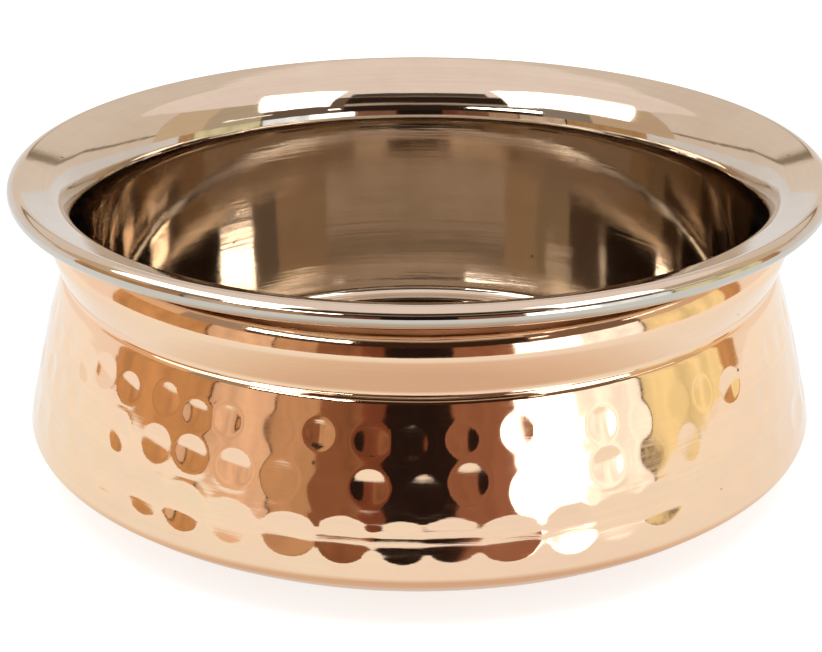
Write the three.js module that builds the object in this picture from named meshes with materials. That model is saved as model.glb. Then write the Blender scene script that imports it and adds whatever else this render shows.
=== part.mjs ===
// A two-layer metal serving bowl: a mirror-polished steel liner with a rolled lip, inside a
// hammered copper shell with a waisted neck. Millimetres, +Z up. The origin is the centre of the
// flat base, so the bowl stands on the plane z = 0.

import * as THREE from 'three';

// Overall sizes
const ROLL_Z = 56.5;            // height of the rolled lip's centre above the table
const ROLL_R = 78.08;           // radius of the rolled lip's centre circle
const ROLL_OUTER = 1.92;        // radius of the roll's own section
const BASE_R = 59.2;            // radius of the flat base
const SEGMENTS = 72;            // facets round the bowl

// Sheet metal
const COPPER = 0.6;             // copper shell's thickness
const STEEL = 0.6;              // steel liner's thickness
const FLANGE_GAP = 0.7;         // clearance between the steel flange and the copper one under it

// Steel liner
const FLANGE_SLOPE = 19;        // degrees the flange falls towards the mouth
const MOUTH_R = 65.9;           // smallest radius of the mouth
const MOUTH_SWEEP = 14;         // long rounding from the wall up into the mouth
const MOUTH_TURN = 45;          // degrees of that rounding, before the tighter one into the flange
const MOUTH_FILLET = 6;         // that tighter rounding
const WALL_LEAN = 0.5;          // degrees: the liner's wall widens towards the floor
const FLOOR_Z = 2.4;            // height of the liner's floor
const FLOOR_CORNER = 2;         // rounding from the wall into the floor
const CURL_END = 1.1;           // how far the curl's lower edge runs back under the lip

// Copper shell
const FLARE_R = 77.84;          // centre circle of the tight corner low on the wall
const FLARE_Z = 8.87;
const FLARE_ROUND = 1.563;      // radius of that corner
const FLARE_START = -47.2;      // normal's elevation where the rounded underside meets the corner
const WALL_ROUND = 274;         // the hammered wall is nearly straight
const WALL_FOOT = 12.24;        // normal's elevation at the wall's foot
const WALL_HEAD = 18.48;        // and at its head
const SHOULDER_ROUND = 3.2;     // small shoulder under the crease
const SHOULDER_END = 48;        // normal's elevation at the crease
const NECK_ROUND = 40;          // neck's slightly rounded cone
const NECK_FOOT = -24;          // its normal's elevation at the crease
const NECK_TURN = -14;          // and at its top
const BROW_ROUND = 3;           // tight turn where the neck is widest
const BROW_END = 8;             // normal's elevation where the turn opens out
const BAND_ROUND = 8.2;         // rounding from there up to the hollow under the lip
const BAND_END = 40;            // normal's elevation at the hollow
const FLANGE_END_R = 78;        // where the copper flange ends, inside the steel curl

const radians = THREE.MathUtils.degToRad;

// Unit vector in the (radius, height) plane at an elevation in degrees.
function direction(degrees) {
  return new THREE.Vector2(Math.cos(radians(degrees)), Math.sin(radians(degrees)));
}

// Points of an arc about a centre, from one elevation to another, both ends included.
function arc(centre, radius, from, to, steps) {
  const points = [];
  for (let i = 0; i <= steps; i += 1) {
    const along = direction(from + (to - from) * i / steps);
    points.push(along.multiplyScalar(radius).add(centre));
  }
  return points;
}

// The centre of an arc that carries on smoothly from another one at an elevation.
function carryOn(centre, radius, elevation, nextRadius) {
  return direction(elevation).multiplyScalar(radius - nextRadius).add(centre);
}

// A solid of revolution about +Z from an outline of (radius, height) points that starts and ends
// on the axis. The outline runs from the underside's centre round to the top side's centre.
function revolve(outline) {
  const geometry = new THREE.LatheGeometry(outline, SEGMENTS);
  geometry.rotateX(Math.PI / 2);
  return geometry;
}

function metal(colour, roughness) {
  return new THREE.MeshStandardMaterial({ color: colour, roughness, metalness: 1 });
}

// Height of the flange's visible face at a radius: it starts where the roll's circle has the
// flange's slope and falls in a straight line towards the mouth.
const flangeStart = direction(90 + FLANGE_SLOPE).multiplyScalar(ROLL_OUTER)
  .add(new THREE.Vector2(ROLL_R, ROLL_Z));
function flangeFace(radius, depth) {
  const fall = (flangeStart.x - radius) * Math.tan(radians(FLANGE_SLOPE));
  return flangeStart.y - fall - depth / Math.cos(radians(FLANGE_SLOPE));
}

// Depths of the copper flange's two faces under the visible face of the steel flange.
const COPPER_OVER = STEEL + FLANGE_GAP;
const COPPER_UNDER = COPPER_OVER + COPPER;

// Radius of the hollow that turns from the band's top at start into the copper flange's underside.
function throatRadius(start) {
  const rise = flangeFace(start.x, COPPER_UNDER) - start.y;
  const across = direction(BAND_END).add(direction(90 + FLANGE_SLOPE));
  return rise / (across.y - across.x * Math.tan(radians(FLANGE_SLOPE)));
}

// The copper shell's face at a depth inside its outer face, from the axis to the flange.
function copperFace(inside) {
  const n = direction(FLARE_START);
  const flare = new THREE.Vector2(FLARE_R, FLARE_Z);
  const belly = (flare.y + n.y * FLARE_ROUND) / (1 + n.y);
  const bellyCentre = carryOn(flare, FLARE_ROUND, FLARE_START, belly);
  const wallCentre = carryOn(flare, FLARE_ROUND, WALL_FOOT, WALL_ROUND);
  const shoulder = carryOn(wallCentre, WALL_ROUND, WALL_HEAD, SHOULDER_ROUND);
  const crease = direction(SHOULDER_END).multiplyScalar(SHOULDER_ROUND).add(shoulder);
  const neck = direction(NECK_FOOT).multiplyScalar(-NECK_ROUND).add(crease);
  const brow = carryOn(neck, NECK_ROUND, NECK_TURN, BROW_ROUND);
  const band = carryOn(brow, BROW_ROUND, BROW_END, BAND_ROUND);
  const bandTop = direction(BAND_END).multiplyScalar(BAND_ROUND).add(band);
  const hollow = throatRadius(bandTop);
  const throat = direction(BAND_END).multiplyScalar(hollow).add(bandTop);

  const points = [new THREE.Vector2(0, inside)];
  points.push(...arc(bellyCentre, belly - inside, -90, FLARE_START, 5));
  points.push(...arc(flare, FLARE_ROUND - inside, FLARE_START, WALL_FOOT, 4).slice(1));
  points.push(...arc(wallCentre, WALL_ROUND - inside, WALL_FOOT, WALL_HEAD, 3).slice(1));
  points.push(...arc(shoulder, SHOULDER_ROUND - inside, WALL_HEAD, SHOULDER_END, 2).slice(1));
  if (inside > 0) {
    points.push(...arc(crease, -inside, SHOULDER_END, NECK_FOOT, 3).slice(1));
  }
  points.push(...arc(neck, NECK_ROUND - inside, NECK_FOOT, NECK_TURN, 2).slice(1));
  points.push(...arc(brow, BROW_ROUND - inside, NECK_TURN, BROW_END, 2).slice(1));
  points.push(...arc(band, BAND_ROUND - inside, BROW_END, BAND_END, 4).slice(1));
  points.push(...arc(throat, hollow + inside, 180 + BAND_END, 90 + FLANGE_SLOPE, 4).slice(1));
  return points;
}

function copperShell() {
  const outer = copperFace(0);
  const flangeEdge = [
    new THREE.Vector2(FLANGE_END_R, flangeFace(FLANGE_END_R, COPPER_UNDER)),
    new THREE.Vector2(FLANGE_END_R, flangeFace(FLANGE_END_R, COPPER_OVER)),
  ];
  const inner = copperFace(COPPER).reverse();
  const mesh = new THREE.Mesh(revolve([...outer, ...flangeEdge, ...inner]), metal(0xc98a5e, 0.15));
  mesh.name = 'copper_shell';
  return mesh;
}

// The liner's face at a depth outside its visible face, from the axis to the flange.
function linerFace(outside) {
  const turned = 180 - MOUTH_TURN;
  const filletR = MOUTH_R + MOUTH_SWEEP + direction(turned).x * (MOUTH_SWEEP - MOUTH_FILLET);
  const fillet = new THREE.Vector2(filletR, flangeFace(filletR, MOUTH_FILLET));
  const sweep = carryOn(fillet, MOUTH_FILLET, turned, MOUTH_SWEEP);
  const lean = direction(WALL_LEAN);
  const cornerZ = FLOOR_Z + FLOOR_CORNER;
  const reach = sweep.dot(lean) - MOUTH_SWEEP - FLOOR_CORNER;
  const corner = new THREE.Vector2((reach - cornerZ * lean.y) / lean.x, cornerZ);

  const points = [new THREE.Vector2(0, FLOOR_Z - outside)];
  points.push(...arc(corner, FLOOR_CORNER + outside, -90, WALL_LEAN, 4));
  points.push(...arc(sweep, MOUTH_SWEEP - outside, 180 + WALL_LEAN, turned, 5));
  points.push(...arc(fillet, MOUTH_FILLET - outside, turned, 90 + FLANGE_SLOPE, 3).slice(1));
  return points;
}

// The rolled lip's face at a radius about the roll's centre, from its lower edge up over the top.
function curlFace(radius, sideSteps) {
  const roll = new THREE.Vector2(ROLL_R, ROLL_Z);
  const lowerEdge = new THREE.Vector2(ROLL_R - CURL_END, ROLL_Z - radius);
  const side = arc(roll, radius, -90, 90, sideSteps);
  return [lowerEdge, ...side, ...arc(roll, radius, 90, 90 + FLANGE_SLOPE, 1).slice(1)];
}

function steelLiner() {
  const under = linerFace(STEEL);
  const insideCurl = curlFace(ROLL_OUTER - STEEL, 6).reverse();
  const outsideCurl = curlFace(ROLL_OUTER, 10);
  const over = linerFace(0).reverse();
  const mesh = new THREE.Mesh(
    revolve([...under, ...insideCurl, ...outsideCurl, ...over]),
    metal(0xd8d2c8, 0.06),
  );
  mesh.name = 'steel_liner';
  return mesh;
}

const bowl = new THREE.Group();
bowl.add(copperShell());
bowl.add(steelLiner());

export default bowl;
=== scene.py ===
import math
import random

import bpy
import numpy as np
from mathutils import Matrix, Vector


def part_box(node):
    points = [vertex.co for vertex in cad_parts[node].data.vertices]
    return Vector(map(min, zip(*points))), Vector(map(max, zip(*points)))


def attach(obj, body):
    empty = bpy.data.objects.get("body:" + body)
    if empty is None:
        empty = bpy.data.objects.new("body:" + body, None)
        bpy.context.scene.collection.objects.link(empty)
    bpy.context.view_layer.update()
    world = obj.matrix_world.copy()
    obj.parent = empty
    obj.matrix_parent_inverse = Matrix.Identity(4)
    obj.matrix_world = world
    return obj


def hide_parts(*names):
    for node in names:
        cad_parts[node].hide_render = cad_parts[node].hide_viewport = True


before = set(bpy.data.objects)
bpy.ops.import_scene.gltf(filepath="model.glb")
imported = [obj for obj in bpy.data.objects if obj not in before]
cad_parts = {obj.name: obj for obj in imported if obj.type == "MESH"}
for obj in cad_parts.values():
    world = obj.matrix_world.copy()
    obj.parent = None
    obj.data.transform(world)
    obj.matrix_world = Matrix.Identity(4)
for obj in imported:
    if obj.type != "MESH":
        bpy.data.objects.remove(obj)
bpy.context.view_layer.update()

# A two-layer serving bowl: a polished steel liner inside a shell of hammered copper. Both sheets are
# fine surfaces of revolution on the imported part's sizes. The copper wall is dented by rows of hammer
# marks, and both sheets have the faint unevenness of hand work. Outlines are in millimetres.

MM = 0.001

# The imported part's boxes, and the rolled lip's place in them
LINER_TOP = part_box("steel_liner")[1] / MM
SHELL_LOW, SHELL_TOP = (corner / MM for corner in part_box("copper_shell"))
ROLL_OUTER = 1.92               # radius of the rolled lip's section
ROLL_R = LINER_TOP.x - ROLL_OUTER
ROLL_Z = LINER_TOP.z - ROLL_OUTER
TABLE_Z = SHELL_LOW.z

# Sheet metal
COPPER = 0.6
STEEL = 0.6
FLANGE_GAP = 0.7                # between the steel flange and the copper flange under it

# Steel liner
FLANGE_SLOPE = 19               # degrees
MOUTH_R = 65.9
MOUTH_SWEEP = 14                # radius of the long rounding from the wall up into the mouth
MOUTH_TURN = 45                 # degrees of that rounding, before the tighter one into the flange
MOUTH_FILLET = 6
WALL_LEAN = 0.5                 # degrees: the wall widens towards the floor
FLOOR_CORNER = 2
FLOOR_Z = TABLE_Z + 2.4         # height of the liner's floor
CURL_END = 1.1                  # how far the curl's lower edge runs back under the lip

# Copper shell: radii of its arcs, and the elevations in degrees of the outward normal where they meet
FLARE_ROUND = 1.563
FLARE_R = SHELL_TOP.x - FLARE_ROUND
FLARE_Z = 8.87
FLARE_START = -47.2
WALL_ROUND = 274
WALL_FOOT = 12.24
WALL_HEAD = 18.48
SHOULDER_ROUND = 3.2
SHOULDER_END = 48
NECK_ROUND = 40
NECK_FOOT = -24
NECK_TURN = -14
BROW_ROUND = 3
BROW_END = 8
BAND_ROUND = 8.2
BAND_END = 40
FLANGE_END_R = 78

FILM_Z = 52.6                   # the dull film in the hollow under the lip starts at this height

# Hammered wall
MARKS_TOP = ROLL_Z - 18.5       # no mark reaches above this height
RAISED_LIP = 0.1                # metal pushed up round a mark, as a share of the mark's depth
RIPPLE_Z = 16.6                 # height where the spinning ripples are strongest
RIPPLE_SPREAD = 2.6
RIPPLE_LENGTH = 1.7
RIPPLE_DEPTH = 0.02

COPPER_SEGMENTS = 800
STEEL_SEGMENTS = 600

# Steps along the copper's outline: flat base, belly, flare, wall, shoulder, neck, brow, band and throat
OUTER_STEPS = (2, 8, 6, 62, 4, 5, 5, 7, 5)
INNER_STEPS = (1, 3, 2, 3, 1, 1, 1, 2, 2)


# ---------------------------------------------------------------- outlines

def direction(degrees):
    return np.array([math.cos(math.radians(degrees)), math.sin(math.radians(degrees))])


def arc(centre, radius, start, end, steps):
    """Points of an arc in the (radius, height) plane, both ends included."""
    steps = max(1, round(steps))
    return [centre + radius * direction(start + (end - start) * i / steps) for i in range(steps + 1)]


def carry_on(centre, radius, elevation, next_radius):
    """The centre of an arc that carries on smoothly from another at an elevation."""
    return centre + (radius - next_radius) * direction(elevation)


def line(start, end, steps):
    """Points after start, up to end."""
    steps = max(1, round(steps))
    return [start + (end - start) * i / steps for i in range(1, steps + 1)]


FLANGE_START = np.array([ROLL_R, ROLL_Z]) + ROLL_OUTER * direction(90 + FLANGE_SLOPE)


def flange_face(radius, depth):
    """Height of the face at a depth under the flange's visible face."""
    slope = math.radians(FLANGE_SLOPE)
    return FLANGE_START[1] - (FLANGE_START[0] - radius) * math.tan(slope) - depth / math.cos(slope)


def throat_radius(start):
    """Radius of the hollow that turns from the band's top into the underside of the copper flange."""
    rise = flange_face(start[0], STEEL + FLANGE_GAP + COPPER) - start[1]
    across = direction(BAND_END) + direction(90 + FLANGE_SLOPE)
    return rise / (across[1] - across[0] * math.tan(math.radians(FLANGE_SLOPE)))


def copper_face(inside, steps):
    """The copper's face at a depth inside its outer face, from the axis to the flange."""
    flare = np.array([FLARE_R, FLARE_Z])
    n = direction(FLARE_START)
    belly = (flare[1] + n[1] * FLARE_ROUND) / (1 + n[1])
    belly_centre = carry_on(flare, FLARE_ROUND, FLARE_START, belly)
    wall_centre = carry_on(flare, FLARE_ROUND, WALL_FOOT, WALL_ROUND)
    shoulder = carry_on(wall_centre, WALL_ROUND, WALL_HEAD, SHOULDER_ROUND)
    crease = shoulder + SHOULDER_ROUND * direction(SHOULDER_END)
    neck = crease - NECK_ROUND * direction(NECK_FOOT)
    brow = carry_on(neck, NECK_ROUND, NECK_TURN, BROW_ROUND)
    band = carry_on(brow, BROW_ROUND, BROW_END, BAND_ROUND)
    throat_round = throat_radius(band + BAND_ROUND * direction(BAND_END))
    throat = band + (BAND_ROUND + throat_round) * direction(BAND_END)

    centre = np.array([0.0, inside])
    base = arc(belly_centre, belly - inside, -90, FLARE_START, steps[1])
    points = [centre] + line(centre, base[0], steps[0]) + base[1:]
    points += arc(flare, FLARE_ROUND - inside, FLARE_START, WALL_FOOT, steps[2])[1:]
    points += arc(wall_centre, WALL_ROUND - inside, WALL_FOOT, WALL_HEAD, steps[3])[1:]
    points += arc(shoulder, SHOULDER_ROUND - inside, WALL_HEAD, SHOULDER_END, steps[4])[1:]
    if inside > 0:
        points += arc(crease, -inside, SHOULDER_END, NECK_FOOT, 2)[1:]
    points += arc(neck, NECK_ROUND - inside, NECK_FOOT, NECK_TURN, steps[5])[1:]
    points += arc(brow, BROW_ROUND - inside, NECK_TURN, BROW_END, steps[6])[1:]
    points += arc(band, BAND_ROUND - inside, BROW_END, BAND_END, steps[7])[1:]
    points += arc(throat, throat_round + inside, 180 + BAND_END, 90 + FLANGE_SLOPE, steps[8])[1:]
    return points


def liner_face(outside, fine):
    """The liner's face at a depth outside its visible face, from the axis to the flange."""
    fillet_r = MOUTH_R + MOUTH_SWEEP - (MOUTH_SWEEP - MOUTH_FILLET) * math.cos(math.radians(MOUTH_TURN))
    fillet = np.array([fillet_r, flange_face(fillet_r, MOUTH_FILLET)])
    turned = 180 - MOUTH_TURN
    sweep = carry_on(fillet, MOUTH_FILLET, turned, MOUTH_SWEEP)
    rounding = arc(sweep, MOUTH_SWEEP - outside, 180 + WALL_LEAN, turned, 10 * fine)
    rounding += arc(fillet, MOUTH_FILLET - outside, turned, 90 + FLANGE_SLOPE, 5 * fine)[1:]
    lean = direction(WALL_LEAN)
    corner_z = FLOOR_Z + FLOOR_CORNER
    reach = sweep @ lean - MOUTH_SWEEP - FLOOR_CORNER
    corner = np.array([(reach - corner_z * lean[1]) / lean[0], corner_z])
    turn = arc(corner, FLOOR_CORNER + outside, -90, WALL_LEAN, 7 * fine)
    centre = np.array([0.0, FLOOR_Z - outside])
    points = [centre] + line(centre, turn[0], 10 * fine) + turn[1:]
    return points + line(turn[-1], rounding[0], 12 * fine) + rounding[1:]


def curl_face(radius, steps):
    """The rolled lip at a radius about the roll's centre, from its lower edge up over the top."""
    roll = np.array([ROLL_R, ROLL_Z])
    lower_edge = roll + np.array([-CURL_END, -radius])
    return [lower_edge] + arc(roll, radius, -90, 90 + FLANGE_SLOPE, steps)


# ---------------------------------------------------------------- meshes

def revolve(name, outline, segments, shift=None):
    """A closed solid of revolution. The outline starts and ends on the axis. shift(angles, rows)
    gives each grid point's move along the outline's normal, in millimetres."""
    rows = np.array(outline[1:-1])
    angles = np.arange(segments) * 2 * math.pi / segments
    radius = np.repeat(rows[:, :1], segments, axis=1)
    height = np.repeat(rows[:, 1:], segments, axis=1)
    if shift is not None:
        along = np.gradient(rows, axis=0)
        normal = np.stack([along[:, 1], -along[:, 0]], axis=1)
        normal /= np.linalg.norm(normal, axis=1, keepdims=True)
        move = shift(angles, rows)
        radius = radius + move * normal[:, :1]
        height = height + move * normal[:, 1:]
    x = radius * np.cos(angles)
    y = radius * np.sin(angles)
    grid = np.stack([x, y, height], axis=2).reshape(-1, 3)
    ends = np.array([[0, 0, outline[0][1]], [0, 0, outline[-1][1]]])
    vertices = np.vstack([grid, ends]) * MM

    last = (len(rows) - 1) * segments
    below, above = len(grid), len(grid) + 1
    here = np.arange(segments)
    after = (here + 1) % segments
    faces = []
    for row in range(len(rows) - 1):
        low, high = row * segments, (row + 1) * segments
        faces += np.stack([low + here, low + after, high + after, high + here], axis=1).tolist()
    faces += [[below, b, a] for a, b in zip(here.tolist(), after.tolist())]
    faces += [[above, last + a, last + b] for a, b in zip(here.tolist(), after.tolist())]
    mesh = bpy.data.meshes.new(name)
    mesh.from_pydata(vertices.tolist(), [], faces)
    mesh.validate()
    mesh.polygons.foreach_set("use_smooth", [True] * len(mesh.polygons))
    mesh.update()
    piece = bpy.data.objects.new(name, mesh)
    bpy.context.scene.collection.objects.link(piece)
    return piece


# Soft unevenness of each sheet: seed, number of waves, their size, the range of waves round the bowl,
# and the range of their lengths along the outline, in millimetres
COPPER_WAVES = (5, 14, 0.018, (5, 34), (12, 40))
STEEL_WAVES = (8, 12, 0.012, (3, 24), (20, 60))
FADE_HEIGHT = 3                 # the copper's waves fade to nothing over this height above the base


def unevenness(angles, travel, seed, waves, size, turns, length):
    """Soft waves of a hand-worked sheet at each grid point, in millimetres."""
    rng = random.Random(seed)
    total = np.zeros((len(travel), len(angles)))
    for _ in range(waves):
        count = rng.randint(*turns)
        phase, start = rng.uniform(0, 2 * math.pi), rng.uniform(0, 2 * math.pi)
        step = rng.uniform(*length)
        total += np.outer(np.sin(travel * 2 * math.pi / step + start), np.sin(count * angles + phase))
    return total * size / math.sqrt(waves)


def travel_of(rows):
    """Distance along the outline at each of its points."""
    steps = np.linalg.norm(np.diff(rows, axis=0), axis=1)
    return np.concatenate([[0], np.cumsum(steps)])


# Hammer marks: rows of shallow round dishes. Height of the row, marks round the bowl, width and
# height of a mark as radii, depth, and how far a mark may wander along the row and across it.
MARK_SEED = 11
MARK_WIDTHS = (0.85, 1.15)      # range of the marks' widths, as a share of the row's
MARK_HEIGHTS = (0.9, 1.1)
MARK_SHAPE = 1.15               # above 1, a mark's edge runs out softly
LIP_REACH = 1.12                # the raised lip's crest, as a share of the mark's radius
LIP_WIDTH = 0.16
MARK_ROWS = (
    (32.2, 58, 2.9, 2.9, 0.24, 1.5, 1.3),
    (24.3, 57, 3.2, 3.2, 0.25, 1.4, 1.2),
    (16.0, 50, 5.0, 3.7, 0.34, 1.1, 0.4),
)


def hammer_marks(angles, rows):
    """Depth of the hammer marks at each grid point, in millimetres."""
    rng = random.Random(MARK_SEED)
    depth = np.zeros((len(rows), len(angles)))
    lip = np.zeros_like(depth)
    heights, radii = rows[:, 1][:, None], rows[:, 0][:, None]
    for level, count, across_mark, up_mark, deep, along, across in MARK_ROWS:
        turn = rng.uniform(0, 2 * math.pi / count)
        for i in range(count):
            here = turn + 2 * math.pi * i / count + rng.uniform(-along, along) / radii.max()
            height = level + rng.uniform(-across, across)
            wide = across_mark * rng.uniform(*MARK_WIDTHS)
            tall = up_mark * rng.uniform(*MARK_HEIGHTS)
            push = deep * (0.2 + 0.95 * rng.random())
            dx = radii * ((angles - here + math.pi) % (2 * math.pi) - math.pi)
            dz = heights - height
            square = (dx / wide) ** 2 + (dz / tall) ** 2
            depth = np.maximum(depth, push * (1 - np.minimum(square, 1)) ** MARK_SHAPE)
            crest = np.exp(-((np.sqrt(square) - LIP_REACH) / LIP_WIDTH) ** 2)
            lip = np.maximum(lip, push * RAISED_LIP * crest)
    return depth - lip * (depth == 0)


def ripples(angles, heights):
    """Fine spinning ripples low on the wall, stronger in some places than in others."""
    low = np.exp(-((heights - RIPPLE_Z) / RIPPLE_SPREAD) ** 2)[:, None]
    wave = np.sin(heights * 2 * math.pi / RIPPLE_LENGTH)[:, None]
    patches = 0.55 + 0.45 * np.sin(3 * angles + 0.6) * np.sin(8 * angles + 1.9)
    return RIPPLE_DEPTH * low * wave * patches


def copper_shift(outer_rows):
    """A shift for revolve: the hammer marks and the spun sheet's unevenness on the outer face."""
    def shift(angles, rows):
        outer = np.arange(len(rows)) < outer_rows
        on_wall = (rows[:, 1] > FLARE_Z) & (rows[:, 1] < MARKS_TOP) & outer
        dents = ripples(angles, rows[:, 1]) - hammer_marks(angles, rows)
        waves = unevenness(angles, travel_of(rows), *COPPER_WAVES)
        fade = np.clip(rows[:, 1] / FADE_HEIGHT, 0, 1) * outer
        return dents * on_wall[:, None] + waves * fade[:, None]
    return shift


def build_shell():
    """The hammered copper shell. Its inner face, against the gap, is smooth and coarser."""
    outer = copper_face(0, OUTER_STEPS)
    edge = [np.array([FLANGE_END_R, flange_face(FLANGE_END_R, depth)])
            for depth in (STEEL + FLANGE_GAP + COPPER, STEEL + FLANGE_GAP)]
    inner = copper_face(COPPER, INNER_STEPS)[::-1]
    return revolve("hammered_shell", outer + edge + inner, COPPER_SEGMENTS, copper_shift(len(outer) - 1))


def liner_shift(hidden_rows):
    """A shift for revolve: the faint unevenness of the liner's visible face."""
    def shift(angles, rows):
        visible = np.arange(len(rows)) >= hidden_rows
        return unevenness(angles, travel_of(rows), *STEEL_WAVES) * visible[:, None]
    return shift


def build_liner():
    """The steel liner with its rolled lip."""
    under = liner_face(STEEL, 0.5)
    inside = curl_face(ROLL_OUTER - STEEL, 8)[::-1]
    outside = curl_face(ROLL_OUTER, 24)
    over = liner_face(0, 2)[::-1]
    hidden = len(under) + len(inside) + len(outside)
    return revolve("polished_liner", under + inside + outside + over, STEEL_SEGMENTS, liner_shift(hidden))


# ---------------------------------------------------------------- materials

def new_material(name):
    material = bpy.data.materials.new(name)
    material.use_nodes = True
    return material, material.node_tree.nodes, material.node_tree.links


def math_node(nodes, links, operation, first, second):
    node = nodes.new("ShaderNodeMath")
    node.operation = operation
    for socket, value in zip(node.inputs, (first, second)):
        if isinstance(value, (int, float)):
            socket.default_value = value
        else:
            links.new(value, socket)
    return node.outputs[0]


def spun_coordinate(nodes, links, round_scale, across_scale):
    """A texture coordinate whose pattern runs round the bowl: unit direction from the axis, scaled,
    and distance across the spinning lines."""
    texture = nodes.new("ShaderNodeTexCoord")
    split = nodes.new("ShaderNodeSeparateXYZ")
    links.new(texture.outputs["Object"], split.inputs[0])
    flat = nodes.new("ShaderNodeCombineXYZ")
    links.new(split.outputs["X"], flat.inputs["X"])
    links.new(split.outputs["Y"], flat.inputs["Y"])
    length = nodes.new("ShaderNodeVectorMath")
    length.operation = "LENGTH"
    links.new(flat.outputs[0], length.inputs[0])
    unit = nodes.new("ShaderNodeVectorMath")
    unit.operation = "NORMALIZE"
    links.new(flat.outputs[0], unit.inputs[0])
    turned = nodes.new("ShaderNodeVectorMath")
    turned.operation = "SCALE"
    turned.inputs["Scale"].default_value = round_scale
    links.new(unit.outputs[0], turned.inputs[0])
    across = math_node(nodes, links, "ADD", split.outputs["Z"], length.outputs["Value"])
    ends = nodes.new("ShaderNodeSeparateXYZ")
    links.new(turned.outputs[0], ends.inputs[0])
    joined = nodes.new("ShaderNodeCombineXYZ")
    links.new(ends.outputs["X"], joined.inputs["X"])
    links.new(ends.outputs["Y"], joined.inputs["Y"])
    links.new(math_node(nodes, links, "MULTIPLY", across, across_scale), joined.inputs["Z"])
    return joined.outputs[0]


def noise(nodes, links, vector, scale, detail, roughness=0.5):
    node = nodes.new("ShaderNodeTexNoise")
    node.inputs["Scale"].default_value = scale
    node.inputs["Detail"].default_value = detail
    node.inputs["Roughness"].default_value = roughness
    links.new(vector, node.inputs["Vector"])
    return node.outputs["Fac"]


def remap(nodes, links, value, low, high, start, end):
    """The value's range from low to high, spread from start to end and held there outside it."""
    node = nodes.new("ShaderNodeMapRange")
    for name, number in (("From Min", low), ("From Max", high), ("To Min", start), ("To Max", end)):
        node.inputs[name].default_value = number
    links.new(value, node.inputs["Value"])
    return node.outputs["Result"]


def blend(nodes, links, share, first, second):
    """A colour between two: each is a colour or a socket."""
    node = nodes.new("ShaderNodeMix")
    node.data_type = "RGBA"
    links.new(share, node.inputs["Factor"])
    for socket, colour in ((node.inputs["A"], first), (node.inputs["B"], second)):
        if isinstance(colour, tuple):
            socket.default_value = (*colour, 1)
        else:
            links.new(colour, socket)
    return node.outputs["Result"]


def bump(nodes, links, height, distance, before=None):
    """A surface relief of a depth in millimetres."""
    node = nodes.new("ShaderNodeBump")
    node.inputs["Strength"].default_value = 1.0
    node.inputs["Distance"].default_value = distance * MM
    links.new(height, node.inputs["Height"])
    if before is not None:
        links.new(before, node.inputs["Normal"])
    return node.outputs["Normal"]


def object_coordinate(nodes):
    return nodes.new("ShaderNodeTexCoord").outputs["Object"]


WARM_COPPER, PINK_COPPER, STREAKED_COPPER = (0.95, 0.66, 0.43), (0.93, 0.61, 0.42), (0.9, 0.62, 0.38)
PITTED_COPPER, FILMED_COPPER = (0.16, 0.07, 0.035), (0.8, 0.52, 0.36)
FILM_EDGE = 1.2                 # the film comes in over this height
FILM_WANDER = 0.4               # and its edge strays this far up and down
FILM_ROUGHNESS, FILM_METALLIC = 0.45, 0.25


def copper_material():
    """Polished copper: warm and pinker clouds, spinning lines, fine scratches, a few small pits, and
    a duller film in the hollow under the lip where polish doesn't reach."""
    material, nodes, links = new_material("polished copper")
    shader = nodes["Principled BSDF"]
    here = object_coordinate(nodes)
    clouds = noise(nodes, links, here, 38, 4, 0.6)
    streaks = noise(nodes, links, spun_coordinate(nodes, links, 2.2, 1500), 1, 4, 0.65)
    lines = noise(nodes, links, spun_coordinate(nodes, links, 9, 6500), 1, 3, 0.7)
    warm = blend(nodes, links, remap(nodes, links, clouds, 0.35, 0.65, 0, 1), WARM_COPPER, PINK_COPPER)
    toned = blend(nodes, links, remap(nodes, links, streaks, 0.4, 0.75, 0, 0.7), warm, STREAKED_COPPER)
    specks = nodes.new("ShaderNodeTexVoronoi")
    specks.inputs["Scale"].default_value = 150
    links.new(here, specks.inputs["Vector"])
    patches = noise(nodes, links, here, 60, 1)
    near = remap(nodes, links, specks.outputs["Distance"], 0.035, 0.07, 1, 0)
    pits = math_node(nodes, links, "MULTIPLY", near, remap(nodes, links, patches, 0.6, 0.64, 0, 1))
    pitted = blend(nodes, links, pits, toned, PITTED_COPPER)
    split = nodes.new("ShaderNodeSeparateXYZ")
    links.new(here, split.inputs[0])
    film_line = math_node(nodes, links, "ADD", split.outputs["Z"],
                          remap(nodes, links, clouds, 0.3, 0.7, -FILM_WANDER * MM, FILM_WANDER * MM))
    film = remap(nodes, links, film_line, FILM_Z * MM, (FILM_Z + FILM_EDGE) * MM, 0, 1)
    filmed = blend(nodes, links, film, pitted, FILMED_COPPER)
    links.new(filmed, shader.inputs["Base Color"])
    polish = remap(nodes, links, lines, 0.3, 0.75, 0.035, 0.1)
    dull = math_node(nodes, links, "MULTIPLY", film, FILM_ROUGHNESS)
    rough = math_node(nodes, links, "MAXIMUM", dull, polish)
    links.new(remap(nodes, links, film, 0, 1, 1, FILM_METALLIC), shader.inputs["Metallic"])
    links.new(math_node(nodes, links, "MAXIMUM", rough, math_node(nodes, links, "MULTIPLY", pits, 0.5)),
              shader.inputs["Roughness"])
    relief = bump(nodes, links, streaks, 0.006)
    relief = bump(nodes, links, lines, 0.0012, relief)
    links.new(bump(nodes, links, noise(nodes, links, here, 420, 2), 0.004, relief), shader.inputs["Normal"])
    return material


CLEAN_STEEL, SMUDGED_STEEL = (0.635, 0.56, 0.475), (0.59, 0.51, 0.425)
TURNED_STEEL, SPOTTED_STEEL = (0.56, 0.485, 0.41), (0.24, 0.17, 0.12)


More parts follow.
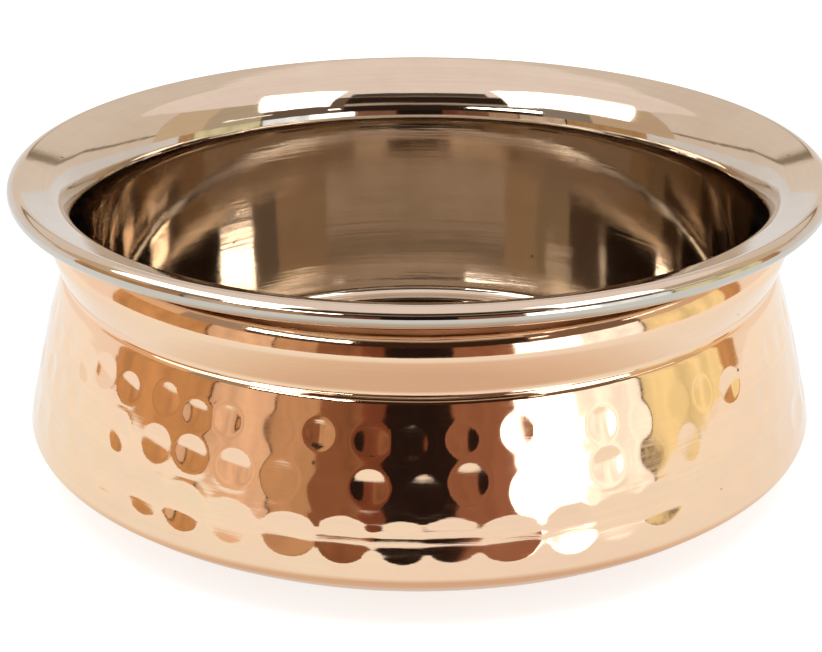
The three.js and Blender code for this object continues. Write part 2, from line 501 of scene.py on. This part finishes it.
def steel_material():
    """Polished stainless steel: faint turning lines, hairline scratches, and smudges left by wiping."""
    material, nodes, links = new_material("polished steel")
    shader = nodes["Principled BSDF"]
    shader.inputs["Metallic"].default_value = 1
    here = object_coordinate(nodes)
    smudges = noise(nodes, links, here, 55, 5, 0.62)
    turning = noise(nodes, links, spun_coordinate(nodes, links, 1.6, 900), 1, 3, 0.6)
    lines = noise(nodes, links, spun_coordinate(nodes, links, 12, 5200), 1, 3, 0.7)
    tone = blend(nodes, links, remap(nodes, links, smudges, 0.35, 0.68, 0, 1), CLEAN_STEEL, SMUDGED_STEEL)
    tone = blend(nodes, links, remap(nodes, links, turning, 0.45, 0.8, 0, 0.6), tone, TURNED_STEEL)
    specks = nodes.new("ShaderNodeTexVoronoi")
    specks.inputs["Scale"].default_value = 130
    links.new(here, specks.inputs["Vector"])
    patches = noise(nodes, links, here, 48, 1)
    near = remap(nodes, links, specks.outputs["Distance"], 0.03, 0.06, 1, 0)
    spots = math_node(nodes, links, "MULTIPLY", near, remap(nodes, links, patches, 0.58, 0.62, 0, 1))
    links.new(blend(nodes, links, spots, tone, SPOTTED_STEEL), shader.inputs["Base Color"])
    wiped = remap(nodes, links, smudges, 0.35, 0.7, 0.025, 0.075)
    links.new(math_node(nodes, links, "ADD", wiped, remap(nodes, links, lines, 0.4, 0.8, 0, 0.03)),
              shader.inputs["Roughness"])
    relief = bump(nodes, links, turning, 0.008)
    relief = bump(nodes, links, lines, 0.001, relief)
    links.new(bump(nodes, links, noise(nodes, links, here, 260, 2), 0.006, relief), shader.inputs["Normal"])
    return material


# ---------------------------------------------------------------- the room that the metal mirrors

ROOM_R = 600                    # the cards stand round the bowl at this radius


def glow(name, colour, strength):
    material, nodes, links = new_material(name)
    nodes.clear()
    emission = nodes.new("ShaderNodeEmission")
    emission.inputs["Color"].default_value = (*colour, 1)
    emission.inputs["Strength"].default_value = strength
    output = nodes.new("ShaderNodeOutputMaterial")
    links.new(emission.outputs[0], output.inputs[0])
    return material


def streaked_glow(name, colour, strength):
    """A glow with soft upright streaks, as curtains, doors and papered walls have."""
    material = glow(name, colour, strength)
    nodes, links = material.node_tree.nodes, material.node_tree.links
    streaks = noise(nodes, links, spun_coordinate(nodes, links, 11, 2.5), 1, 3, 0.6)
    tinted = nodes.new("ShaderNodeVectorMath")
    tinted.operation = "SCALE"
    tinted.inputs[0].default_value = colour
    links.new(remap(nodes, links, streaks, 0.3, 0.7, 0.72, 1.14), tinted.inputs["Scale"])
    links.new(tinted.outputs[0], nodes["Emission"].inputs["Color"])
    return material


def ramp(nodes, links, value, stops):
    """A colour that follows a value through (value, colour) stops between 0 and 1."""
    node = nodes.new("ShaderNodeValToRGB")
    elements = node.color_ramp.elements
    while len(elements) < len(stops):
        elements.new(0.5)
    for element, (position, colour) in zip(elements, stops):
        element.position = position
        element.color = (*colour, 1)
    links.new(value, node.inputs["Fac"])
    return node.outputs["Color"]


def shaded_glow(name, low, high, stops):
    """A glow whose colour follows the height between low and high, in millimetres."""
    material = glow(name, (1, 1, 1), 1.0)
    nodes, links = material.node_tree.nodes, material.node_tree.links
    position = nodes.new("ShaderNodeNewGeometry")
    split = nodes.new("ShaderNodeSeparateXYZ")
    span = nodes.new("ShaderNodeMapRange")
    span.inputs["From Min"].default_value = low * MM
    span.inputs["From Max"].default_value = high * MM
    links.new(position.outputs["Position"], split.inputs[0])
    links.new(split.outputs["Z"], span.inputs["Value"])
    links.new(ramp(nodes, links, span.outputs["Result"], stops), nodes["Emission"].inputs["Color"])
    return material


def ringed_glow(name, centre, inner, outer, stops):
    """A glow whose colour follows the distance from a point, in millimetres."""
    material = glow(name, (1, 1, 1), 1.0)
    nodes, links = material.node_tree.nodes, material.node_tree.links
    position = nodes.new("ShaderNodeNewGeometry")
    distance = nodes.new("ShaderNodeVectorMath")
    distance.operation = "DISTANCE"
    distance.inputs[1].default_value = (Vector(centre) * MM)[:]
    span = nodes.new("ShaderNodeMapRange")
    span.inputs["From Min"].default_value = inner * MM
    span.inputs["From Max"].default_value = outer * MM
    links.new(position.outputs["Position"], distance.inputs[0])
    links.new(distance.outputs["Value"], span.inputs["Value"])
    links.new(ramp(nodes, links, span.outputs["Result"], stops), nodes["Emission"].inputs["Color"])
    return material


def stage_mesh(name, vertices, faces, material):
    mesh = bpy.data.meshes.new(name)
    mesh.from_pydata([(Vector(v) * MM)[:] for v in vertices], [], faces)
    thing = bpy.data.objects.new(name, mesh)
    bpy.context.scene.collection.objects.link(thing)
    mesh.materials.append(material)
    return thing


def only_in_reflections(thing):
    thing.visible_camera = False
    thing.visible_diffuse = False
    thing.visible_shadow = False
    thing.visible_transmission = False
    thing.visible_volume_scatter = False


def card(name, start, end, low, high, colour, strength=1.0, radius=ROOM_R):
    """A curved card. Its ends are azimuths in degrees from the front, positive to the right."""
    shaded_card(name, start, end, low, high, glow(name, colour, strength), radius)


def shaded_card(name, start, end, low, high, material, radius=ROOM_R):
    steps = 24
    vertices = []
    for i in range(steps + 1):
        azimuth = math.radians(start + (end - start) * i / steps)
        x, y = radius * math.sin(azimuth), -radius * math.cos(azimuth)
        vertices += [(x, y, low), (x, y, high)]
    faces = [(2 * i, 2 * i + 1, 2 * i + 3, 2 * i + 2) for i in range(steps)]
    only_in_reflections(stage_mesh(name, vertices, faces, material))


def disc(name, radius, height, material):
    steps = 96
    ring = [(radius * math.cos(2 * math.pi * i / steps), radius * math.sin(2 * math.pi * i / steps), height)
            for i in range(steps)]
    return stage_mesh(name, ring, [tuple(range(steps))], material)


def softbox(name, centre, across, up, colour, strength):
    centre, across, up = Vector(centre), Vector(across), Vector(up)
    corners = [centre - across - up, centre + across - up, centre + across + up, centre - across + up]
    only_in_reflections(stage_mesh(name, corners, [(0, 1, 2, 3)], glow(name, colour, strength)))


# Cards of the room's lower part, as the copper wall mirrors it: azimuths where each starts and ends,
# its colour and its strength
LOW, MIDDLE, TOP = -60, 200, 620
LOW_CARDS = {
    "backdrop": (101, 266, (0.95, 0.93, 0.93), 1.0),
    "left_wall": (-94, -58.6, (0.62, 0.37, 0.18), 1.0),
    "left_edge": (-58.6, -57.8, (0.05, 0.02, 0.01), 1.0),
    "left_panel": (-57.8, -39.4, (0.83, 0.62, 0.47), 1.0),
    "middle_edge": (-39.4, -38.8, (0.05, 0.02, 0.01), 1.0),
    "left_middle": (-38.8, -27, (0.56, 0.36, 0.22), 1.0),
    "left_shade": (-27, -15, (0.26, 0.12, 0.065), 1.0),
    "door": (-15, -9, (0.2, 0.07, 0.04), 1.0),
    "photographer": (-9, 9, (0.02, 0.012, 0.01), 1.0),
    "right_shade": (9, 25, (0.3, 0.14, 0.085), 1.0),
    "window": (25, 43, (0.97, 1.0, 1.05), 3.2),
    "curtain": (43, 62.6, (1.0, 1.1, 1.2), 1.45),
    "right_edge": (62.6, 63.4, (0.1, 0.045, 0.03), 1.0),
    "yellow_wall": (63.4, 93, (1.0, 0.95, 0.6), 1.0),
    "right_end": (93, 101, (0.66, 0.4, 0.2), 1.0),
}
PLAIN_CARDS = ("backdrop", "window")
# Cards of its upper part, as the liner mirrors it
HIGH_CARDS = {
    "left_high": (-109, -70, (0.84, 0.63, 0.44), 0.9),
    "left_high_shade": (-70, -49, (0.4, 0.33, 0.28), 0.9),
    "right_high_shade": (30, 64, (0.2, 0.14, 0.1), 1.0),
    "right_high": (64, 90, (0.66, 0.54, 0.4), 1.0),
    "right_high_yellow": (90, 115, (0.85, 0.66, 0.46), 1.0),
}
# Walls of the upper part whose colour follows the height: ends in degrees, then the colours from
# bottom to top, each with its share of the height
BEIGE, SHADE = (0.97, 0.84, 0.73), (0.34, 0.26, 0.18)
DARK, BRIGHT, TOP_BROWN = (0.035, 0.02, 0.014), (0.75, 0.62, 0.5), (0.4, 0.3, 0.22)
SHADED_WALLS = {
    "back_high": (115, 251, [(0.19, BEIGE), (0.215, SHADE), (0.24, SHADE), (0.275, BEIGE)]),
    "front_high": (-49, 30, [(0.3, DARK), (0.42, BRIGHT), (0.5, DARK), (0.9, DARK), (1.0, TOP_BROWN)]),
}
FRONT_TOP = (-30, 30, TOP, TOP + 140, (0.1, 0.08, 0.065))
# Lamps just inside the walls: azimuths and heights where each starts and ends, colour, strength
LAMPS = {
    "lamp_left": (-49, -19, 264, 302, (1.0, 1.0, 1.0), 14),
    "lamp_right": (60, 81, 290, 303, (1.0, 1.0, 0.98), 2.5),
    "slit_right": (31, 36, 278, 293, (1.0, 1.0, 0.98), 4),
}
LAMP_R = ROOM_R - 5
# Softboxes high in front: centre, and half their width and height as vectors
SOFTBOXES = {
    "softbox_left": ((-412, -152, 480), (138, -218, 0), (60, 80, 130)),
    "softbox_right": ((357, -253, 480), (83, 117, 0), (-60, 80, 130)),
}
SOFTBOX_COLOUR, SOFTBOX_STRENGTH = (1, 0.97, 0.92), 3.6
# The floor as the metal mirrors it: darkest under the bowl's front, paler with the distance. The dark warm
# middle is a painted shadow of the bowl, warmed by a painted glow from the copper.
FLOOR_SHADOW_CENTRE = (0, -60, 0)
FLOOR_NEAR, FLOOR_FAR = 40, 300
SHADOWED_FLOOR_STOPS = [
    (0.0, (0.7, 0.6, 0.53)),
    (0.06, (0.78, 0.7, 0.62)),
    (0.2, (0.93, 1.0, 1.04)),
    (1.0, (1.0, 1.05, 1.08)),
]
MIRRORED_FLOOR_R = 420
CEILING_COLOUR, CEILING_STRENGTH = (1.0, 0.88, 0.82), 1.17


def build_room():
    for name, (start, end, colour, strength) in LOW_CARDS.items():
        make = glow if name in PLAIN_CARDS else streaked_glow
        shaded_card(name, start, end, LOW, MIDDLE, make(name, colour, strength))
    for name, (start, end, colour, strength) in HIGH_CARDS.items():
        card(name, start, end, MIDDLE, TOP, colour, strength)
    for name, (start, end, stops) in SHADED_WALLS.items():
        shaded_card(name, start, end, MIDDLE, TOP, shaded_glow(name, MIDDLE, TOP, stops))
    card("front_top", *FRONT_TOP)
    for name, place in LAMPS.items():
        card(name, *place, LAMP_R)
    for name, place in SOFTBOXES.items():
        softbox(name, *place, SOFTBOX_COLOUR, SOFTBOX_STRENGTH)
    # the mirrored floor carries a painted shadow of the bowl and a painted warm glow from the copper near
    # its front
    mirrored = ringed_glow("floor_mirrored", FLOOR_SHADOW_CENTRE, FLOOR_NEAR, FLOOR_FAR, SHADOWED_FLOOR_STOPS)
    only_in_reflections(disc("floor_mirrored", MIRRORED_FLOOR_R, TABLE_Z - 0.2, mirrored))
    world = bpy.data.worlds.new("room")
    world.use_nodes = True
    background = world.node_tree.nodes["Background"]
    background.inputs["Color"].default_value = (*CEILING_COLOUR, 1)
    background.inputs["Strength"].default_value = CEILING_STRENGTH
    bpy.context.scene.world = world


FLOOR_R = 6000
OVERHEAD_SIZE, OVERHEAD_HEIGHT, OVERHEAD_WATTS = 1600, 1800, 40


def build_floor():
    """The white floor that the camera sees, and the lamp that gives the bowl its soft shadow."""
    material, nodes, _ = new_material("pale floor")
    shader = nodes["Principled BSDF"]
    shader.inputs["Base Color"].default_value = (0.35, 0.35, 0.35, 1)
    shader.inputs["Roughness"].default_value = 0.8
    shader.inputs["Emission Color"].default_value = (1, 0.995, 0.985, 1)
    shader.inputs["Emission Strength"].default_value = 0.72
    floor = disc("floor", FLOOR_R, TABLE_Z - 0.4, material)
    floor.visible_glossy = False
    lamp = bpy.data.lights.new("overhead", "AREA")
    lamp.size = OVERHEAD_SIZE * MM
    lamp.energy = OVERHEAD_WATTS
    above = bpy.data.objects.new("overhead", lamp)
    above.location = (0, 0, OVERHEAD_HEIGHT * MM)
    bpy.context.scene.collection.objects.link(above)
    above.visible_glossy = False


# ---------------------------------------------------------------- camera

CAMERA_ELEVATION = 23.149       # degrees above the table
CAMERA_DISTANCE = 350           # from the point it looks at
LOOK_DROP = 34.905              # that point is on the axis, this far under the roll's centre
LENS = 74.27
SENSOR_WIDTH = 36
SIDE_SHIFT = -0.0103            # of the picture's width


def build_camera():
    camera = bpy.data.cameras.new("camera")
    camera.sensor_width = SENSOR_WIDTH
    camera.lens = LENS
    camera.shift_x = SIDE_SHIFT
    camera.clip_start = 0.01
    thing = bpy.data.objects.new("camera", camera)
    elevation = math.radians(CAMERA_ELEVATION)
    y = -CAMERA_DISTANCE * math.cos(elevation)
    z = ROLL_Z - LOOK_DROP + CAMERA_DISTANCE * math.sin(elevation)
    thing.location = Vector((0, y, z)) * MM
    thing.rotation_euler = (math.pi / 2 - elevation, 0, 0)
    bpy.context.scene.collection.objects.link(thing)
    bpy.context.scene.camera = thing


# ---------------------------------------------------------------- the scene

build_camera()

shell = build_shell()
shell.data.materials.append(copper_material())
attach(shell, "root")
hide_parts("copper_shell")

liner = build_liner()
liner.data.materials.append(steel_material())
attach(liner, "root")
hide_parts("steel_liner")

build_room()
build_floor()

scene = bpy.context.scene
scene.view_settings.view_transform = "Standard"
scene.cycles.max_bounces = 16
scene.cycles.glossy_bounces = 12
